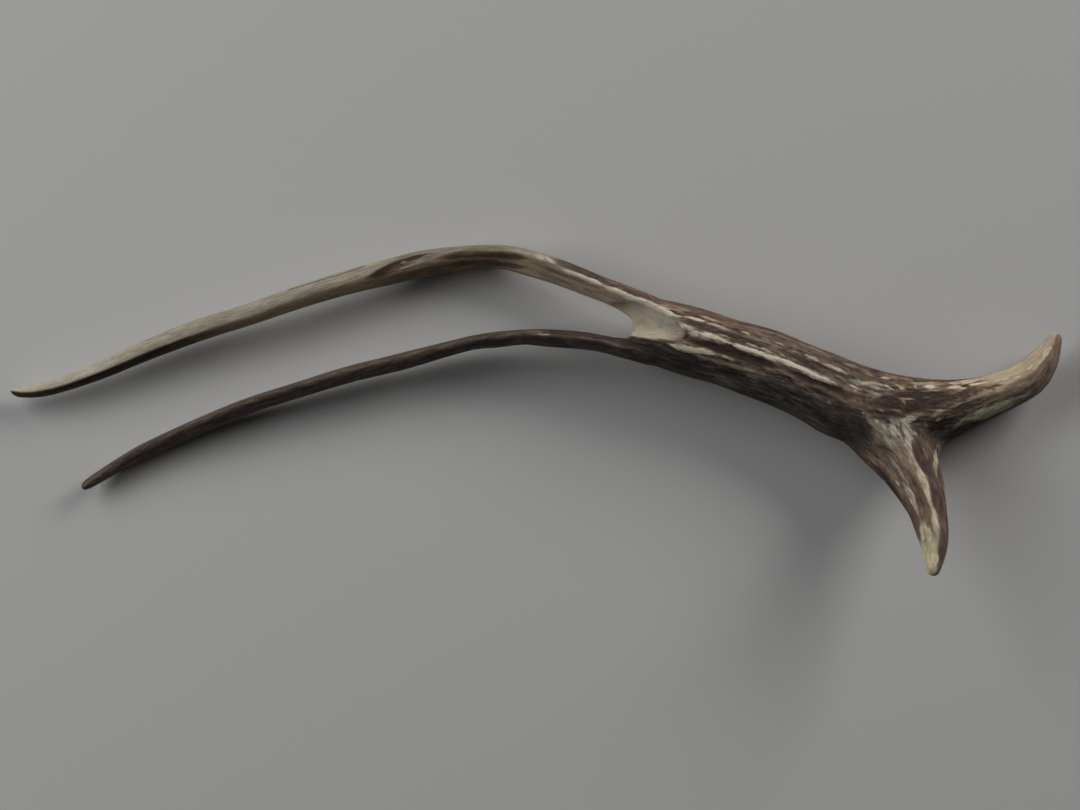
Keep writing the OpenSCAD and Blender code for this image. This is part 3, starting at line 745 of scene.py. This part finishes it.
def colours(points, at):
    """Tone, coolness and polish of the surface at each point, before the marks are laid on it.
    beyond is how far a point lies beyond a prong's arris, away from the gap."""
    where = regions(points, at)
    relief = bark_relief(points, at)
    beam, tine, long_, short = at["beam"], at["tine"], at["long"], at["short"]
    x, z = points[:, 0], points[:, 2]
    low = smooth(beam["angle"], -5, -30) * smooth(beam["angle"], -175, -150)
    high = smooth(beam["angle"], 40, 60) * smooth(beam["angle"], 150, 120)
    tone, cool, polish = (np.full(len(points), value) for value in SURFACES["bark"])
    tone += 0.07 * relief * (1 - 0.7 * low) - 0.13 * low - 0.05 * high - 0.05 * smooth(x, 47, 53)
    cool += 1.1 * low - 0.15 * high

    def paint(amount, surface, lighter=0, cooler=0, shinier=0):
        nonlocal tone, cool, polish
        new_tone, new_cool, new_polish = surface
        tone = tone * (1 - amount) + (new_tone + lighter) * amount
        cool = cool * (1 - amount) + (new_cool + cooler) * amount
        polish = polish * (1 - amount) + (new_polish + shinier) * amount

    lighter = (0.04 * relief - 0.02 * smooth(tine["angle"], -20, -50)
               - 0.1 * smooth(tine["angle"], 10, 35) - 0.1 * smooth(tine["angle"], -55, -85))
    paint(tine["share"] * smooth(tine["s"], 9, 15), SURFACES["tine"], lighter,
          shinier=0.3 * smooth(tine["s"], 18, 30))

    beyond = long_["aside"] - long_["arris"]
    outer = smooth(beyond, -0.12, 0.15)
    on_long = where["prong"] * (long_["share"] > short["share"])
    grain = streaks(long_, *LONG_GRAIN, LONG_SEED)
    crest = smooth(x, -30, -20) * smooth(x, 0, -8)
    to_tip = smooth(x, -60, -86)
    outer_adds = 0.14 * to_tip - 0.115 * crest - 0.02 * smooth(x, 0, 8)
    # Painted shade on the long prong's inner face: darker towards the tip, and darker on the lower half at
    # the crest, where the crest's own dark brown adds to it.
    inner_adds_and_painted_shade = (-0.43 * smooth(x, -46, -66) - 0.22 * crest * smooth(beyond, -0.2, -1.2)
                  - 0.02 * smooth(x, 0, 6))
    faces = [outer * a + (1 - outer) * b for a, b in zip(SURFACES["long outer"], SURFACES["long inner"])]
    paint(on_long, faces, outer * outer_adds + (1 - outer) * inner_adds_and_painted_shade + 0.03 * grain)
    ragged = x + BAND_RAGGED * grain - BAND_SLANT * smooth(beyond, 1, 2.6)
    band = outer * smooth(ragged, 2, 5) * smooth(beyond, 0.1, 0.35)
    paint(on_long * band, SURFACES["band"], 0.05 * relief)

    beyond = -short["aside"] - short["arris"]
    on_short = where["prong"] * (short["share"] >= long_["share"])
    grain = streaks(short, *SHORT_GRAIN, SHORT_SEED)
    to_tip = 0.03 * to_tip
    paint(on_short, SURFACES["short"], 0.04 * grain + to_tip)
    paint(on_short * smooth(beyond, 0.15, -0.15), SURFACES["short inner"],
          to_tip - 0.1 * smooth(x, -3, 3), 1.3 * smooth(x, 1, -6))
    rim = smooth(np.abs(beyond + RIM_INSIDE), 0.45, 0.15) * smooth(x, -2, -14)
    paint(RIM_COVER * on_short * rim, SURFACES["short rim"])

    facing = smooth(x, 14.6, 16.4)
    carved = where["carved"] * (facing + (1 - facing) * (1 - on_long))
    paint(carved, SURFACES["carved"], -0.04 * smooth(z, 8.5, 6) - 0.12 * smooth(x, 21.5, 24.5))
    for name, (spot, radius, cover) in SPOTS.items():
        around = smooth(np.linalg.norm(points - spot, axis=1), radius, SPOT_HEART)
        paint(cover * carved * around, SURFACES[name])
    rim = smooth(np.abs(scoop_distance(points) - RIM_OUTSIDE), 0.4, 0.1) * (1 - on_long)
    rim = rim * smooth(x, 13, 16) * smooth(z, 8.5, 9.5)
    paint(RIM_COVER * rim, SURFACES["scoop rim"])

    paint(where["tips"] * (beam["share"] > 0.5), SURFACES["side tip"])
    side_top = smooth(np.abs(beam["angle"] - SIDE_TOP_ANGLE), 50, 25) * smooth(beam["s"], 66, 72)
    paint(side_top * beam["share"], SURFACES["side top"])
    tine_tip = smooth(tine["s"], 33, 36.5) * tine["share"] * smooth(tine["angle"], 60, 20)
    paint(tine_tip, SURFACES["tine tip"])
    return tone, cool, np.clip(polish, 0, 1)


def mark_fields(points, lines):
    """Cover, tone and coolness of the marks at each point."""
    covered = np.zeros(len(points))
    tone = np.full(len(points), UNMARKED_TONE)
    cool = np.full(len(points), UNMARKED_COOL)
    for (index, cover), (_, _, _, brightness, mark_cool) in zip(mark_covers(points, lines), MARKS):
        share = smooth(cover, *MARK_TONE)
        tone[index] += share * (math.sqrt(brightness) - tone[index])
        cool[index] += share * (mark_cool - cool[index])
        covered[index] = np.maximum(covered[index], cover)
    return covered, tone, cool


def thinned(data, most):
    """The mesh with at most so many triangles."""
    count = sum(len(p.vertices) - 2 for p in data.polygons)
    holder = bpy.data.objects.new("thinning", data)
    bpy.context.scene.collection.objects.link(holder)
    thin = holder.modifiers.new("thin", "DECIMATE")
    thin.ratio = min(1.0, most / count)
    bpy.context.view_layer.update()
    result = bpy.data.meshes.new_from_object(holder.evaluated_get(bpy.context.evaluated_depsgraph_get()))
    bpy.data.objects.remove(holder)
    return result


def add_field(data, name, values):
    kind, key = ("FLOAT_VECTOR", "vector") if values.ndim == 2 else ("FLOAT", "value")
    field = data.attributes.new(name, kind, "POINT")
    field.data.foreach_set(key, values.astype(np.float32).ravel())


# Smoothing of the CAD's skin: weight and rounds
CUT_SPREAD = (0.6, 25)
HEAD_SMOOTHING = (0.6, 90)
SKIN_SMOOTHING = (0.08, 60)
BARK_SMOOTHING = 0.47      # weight added on the bark
GIRTH_SMOOTHING = (0.9, 150)
MOST_GIRTH = 0.6           # most that the smoothed skin is moved out again, in mm
# Shares of the bark's smoothing that are held back beside a carved place and at the tips
CUT_KEPT = 0.9
TIP_KEPT = 0.8


def settled(data, points, edges, at, where):
    """The points with the CAD's ridges and creases smoothed away, at the same girth as before."""
    beside_cut = smooth(relaxed(where["carved"], edges, *CUT_SPREAD), 0.02, 0.25)
    bark = (at["beam"]["share"] + at["tine"]["share"]) * (1 - where["prong"]) * (1 - CUT_KEPT * beside_cut)
    bark *= 1 - TIP_KEPT * where["tips"]
    head = (bark * smooth(points[:, 0], 40, 50) * smooth(at["tine"]["s"], 27, 20)
            * smooth(at["beam"]["s"], 74, 66))
    before = points
    weight, rounds = HEAD_SMOOTHING
    points = relaxed(points, edges, weight * head, rounds)
    weight, rounds = SKIN_SMOOTHING
    points = relaxed(points, edges, weight + BARK_SMOOTHING * bark, rounds)
    write_points(data, points)
    normals = read_normals(data)
    lost = relaxed(((before - points) * normals).sum(1), edges, *GIRTH_SMOOTHING)
    points = points + normals * (np.clip(lost, 0, MOST_GIRTH) + RIDGE_RISE * bark)[:, None]
    write_points(data, points)
    return points


SECOND_HEAD = 35     # place along, beyond which the second grain is the raised tine's
SECOND_SHIFT = 200   # mm along, which keeps the second grain unlike the beam's


def second_grain(points, at):
    """The grain of the limb that leaves the beam nearest to each point."""
    head = points[:, 0] > SECOND_HEAD
    on_long = at["long"]["share"] > at["short"]["share"]
    return {key: np.where(head, at["tine"][key], np.where(on_long, at["long"][key], at["short"][key]))
            for key in ("s", "aside", "up", "share")}


def make_skin(node):
    data = remeshed(node)
    points = read_points(data)
    edges = read(data.edges, "vertices", 2, np.int32)
    at = survey(points)
    points = settled(data, points, edges, at, regions(points, at))
    at = survey(points)
    normals = read_normals(data)
    lines = lay_marks(points, normals)
    points = points + normals * sculpt(points, at, lines)[:, None]
    points[:, 2] = np.maximum(points[:, 2], LOWEST)
    write_points(data, points)
    data = thinned(data, MOST_TRIANGLES)
    points = read_points(data)
    at = survey(points)
    tone, cool, polish = colours(points, at)
    mark, mark_tone, mark_cool = mark_fields(points, lines)
    beam, second = at["beam"], second_grain(points, at)
    fields = {
        "flow": np.column_stack([beam["s"], beam["aside"], beam["up"]]),
        "flow_second": np.column_stack([second["s"] + SECOND_SHIFT, second["aside"], second["up"]]),
        "flow_mix": second["share"] / (second["share"] + beam["share"] + TINY),
        "tone": tone, "cool": cool, "polish": polish,
        "mark": mark, "mark_tone": mark_tone, "mark_cool": mark_cool,
    }
    for name, values in fields.items():
        add_field(data, name, values)
    data.polygons.foreach_set("use_smooth", [True] * len(data.polygons))
    return data


# Material
class Nodes:
    """Short ways to add and join shader nodes."""

    def __init__(self, mat):
        self.tree = mat.node_tree

    def add(self, kind, inputs=None, **settings):
        node = self.tree.nodes.new(kind)
        for key, value in settings.items():
            setattr(node, key, value)
        for key, value in (inputs or {}).items():
            if isinstance(value, bpy.types.NodeSocket):
                self.tree.links.new(value, node.inputs[key])
            else:
                node.inputs[key].default_value = value
        return node

    def field(self, name, vector=False):
        node = self.add("ShaderNodeAttribute", attribute_name=name, attribute_type="GEOMETRY")
        return node.outputs["Vector" if vector else "Fac"]

    def maths(self, operation, *values):
        return self.add("ShaderNodeMath", dict(enumerate(values)), operation=operation).outputs[0]

    def plus_product(self, start, value, gain):
        """start + value * gain"""
        return self.maths("MULTIPLY_ADD", value, gain, start)

    def noise(self, flow, along, across, detail, roughness):
        way = self.add("ShaderNodeVectorMath", {0: flow, 1: (along, across, across)}, operation="MULTIPLY")
        inputs = {"Vector": way.outputs[0], "Scale": 1.0, "Detail": detail, "Roughness": roughness}
        return self.add("ShaderNodeTexNoise", inputs).outputs["Fac"]

    def ramp(self, value, rows):
        node = self.add("ShaderNodeValToRGB", {"Fac": value})
        stops = node.color_ramp.elements
        while len(stops) < len(rows):
            stops.new(0.5)
        for stop, (place, colour) in zip(stops, rows):
            stop.position = place
            stop.color = (*colour, 1.0)
        return node.outputs["Color"]

    def map_range(self, value, low, high, to=(0.0, 1.0), **settings):
        inputs = {"Value": value, "From Min": low, "From Max": high, "To Min": to[0], "To Max": to[1]}
        return self.add("ShaderNodeMapRange", inputs, **settings).outputs["Result"]

    def blend(self, factor, a, b):
        return self.add("ShaderNodeMix", {"Factor": factor, "A": a, "B": b}, data_type="FLOAT").outputs[0]


# Tone, then the surface's own colour
TONES = [
    (0.00, (0.010, 0.007, 0.006)), (0.20, (0.052, 0.037, 0.033)), (0.28, (0.102, 0.073, 0.063)),
    (0.36, (0.172, 0.126, 0.101)), (0.45, (0.260, 0.200, 0.152)), (0.55, (0.372, 0.306, 0.228)),
    (0.63, (0.478, 0.410, 0.312)), (0.71, (0.590, 0.510, 0.390)), (0.80, (0.745, 0.655, 0.508)),
    (0.90, (0.870, 0.790, 0.650)),
]
# Tints by the share of the greatest coolness: reddish brown, greenish grey, olive, yellow
COOLEST = 2.5
TINTS = [(0.0, (1.09, 0.965, 0.85)), (0.4, (0.92, 1.02, 1.08)), (0.8, (0.93, 1.03, 0.82)),
         (1.0, (1.05, 0.98, 0.77))]
# Noise drawn out along the limbs. Columns: waves a mm along and across, detail, roughness
BROAD = (0.12, 0.9, 4.0, 0.55)
FIBRES = (0.36, 1.9, 4.0, 0.60)
FINE = (0.9, 4.5, 4.0, 0.65)
HUE = (0.22, 1.2, 2.0, 0.5)
# How much of each noise reaches the tone, the marks' edges, the marks' tone and the coolness
BROAD_TONE, FIBRES_TONE, FINE_TONE = 0.65, 0.85, 0.60
FIBRES_EDGE, FINE_EDGE = 1.7, 1.4
FIBRES_MARK = 1.5
HUE_COOL = 1.7
MARK_COVER = (0.08, 0.92)    # covers at which a mark is absent and full
POLISHED_GRAIN = -0.75       # what polish takes from the grain
DARK_TONES = (0.18, 0.40)    # tones between which the grain grows to its full strength
DARK_GRAIN = 0.45            # its strength below them
ROUGHNESS = 0.70
POLISH_ROUGHNESS = -0.26
FINE_ROUGHNESS = 0.30
FINE_BUMP = 0.6              # height of the fine grain beside the fibres'
BUMP_STRENGTH = 0.8
BUMP_DISTANCE = 0.00014      # metres
SPECULAR_LEVEL = 0.13
# Sockets of the colour mix node
MIX_FACTOR, MIX_A, MIX_B, MIX_RESULT = 0, 6, 7, 2


def make_antler():
    mat = bpy.data.materials.new("antler")
    mat.use_nodes = True
    n = Nodes(mat)
    shader = mat.node_tree.nodes["Principled BSDF"]
    tone, cool, polish, mix = (n.field(name) for name in ("tone", "cool", "polish", "flow_mix"))
    mark, mark_tone, mark_cool = (n.field(name) for name in ("mark", "mark_tone", "mark_cool"))
    flows = [n.field("flow", True), n.field("flow_second", True)]

    def grained(grain):
        a, b = (n.noise(flow, *grain) for flow in flows)
        return n.maths("SUBTRACT", n.blend(mix, a, b), 0.5)

    broad, fibres, fine, hue = (grained(grain) for grain in (BROAD, FIBRES, FINE, HUE))
    strength = n.maths("MULTIPLY", n.plus_product(1.0, polish, POLISHED_GRAIN),
                       n.map_range(tone, *DARK_TONES, (DARK_GRAIN, 1.0)))
    broad, raw_fibres, raw_fine = (n.maths("MULTIPLY", grain, strength) for grain in (broad, fibres, fine))

    base = n.plus_product(tone, broad, BROAD_TONE)
    base = n.plus_product(base, raw_fibres, FIBRES_TONE)
    edge = n.plus_product(mark, raw_fibres, FIBRES_EDGE)
    edge = n.plus_product(edge, raw_fine, FINE_EDGE)
    mask = n.map_range(edge, *MARK_COVER, interpolation_type="SMOOTHSTEP")
    inside = n.plus_product(mark_tone, n.maths("MULTIPLY", fibres, mark_tone), FIBRES_MARK)
    level = n.plus_product(n.blend(mask, base, inside), raw_fine, FINE_TONE)
    coolness = n.plus_product(n.blend(mask, cool, mark_cool), hue, HUE_COOL)
    tint = n.ramp(n.maths("MULTIPLY", coolness, 1 / COOLEST), TINTS)
    shade = n.add("ShaderNodeMix", {MIX_FACTOR: 1.0, MIX_A: n.ramp(level, TONES), MIX_B: tint},
                  data_type="RGBA", blend_type="MULTIPLY")
    n.tree.links.new(shade.outputs[MIX_RESULT], shader.inputs["Base Color"])

    rough = n.plus_product(ROUGHNESS, polish, POLISH_ROUGHNESS)
    n.tree.links.new(n.plus_product(rough, fine, FINE_ROUGHNESS), shader.inputs["Roughness"])
    height = n.maths("MULTIPLY", n.plus_product(fibres, fine, FINE_BUMP), strength)
    bump = n.add("ShaderNodeBump", {"Strength": BUMP_STRENGTH, "Distance": BUMP_DISTANCE, "Height": height})
    n.tree.links.new(bump.outputs["Normal"], shader.inputs["Normal"])
    shader.inputs["Specular IOR Level"].default_value = SPECULAR_LEVEL
    return mat


bpy.context.scene.view_settings.view_transform = "Standard"
make_camera()
for light in LIGHTS:
    make_light(*light)
make_world(WORLD_STRENGTH)
make_floor(FLOOR_COLOUR)

skin_data = make_skin(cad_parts["antler_fork"])
skin = bpy.data.objects.new("fork_skin", skin_data)
bpy.context.scene.collection.objects.link(skin)
skin_data.materials.clear()
skin_data.materials.append(make_antler())
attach(skin, "root")
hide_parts("antler_fork")
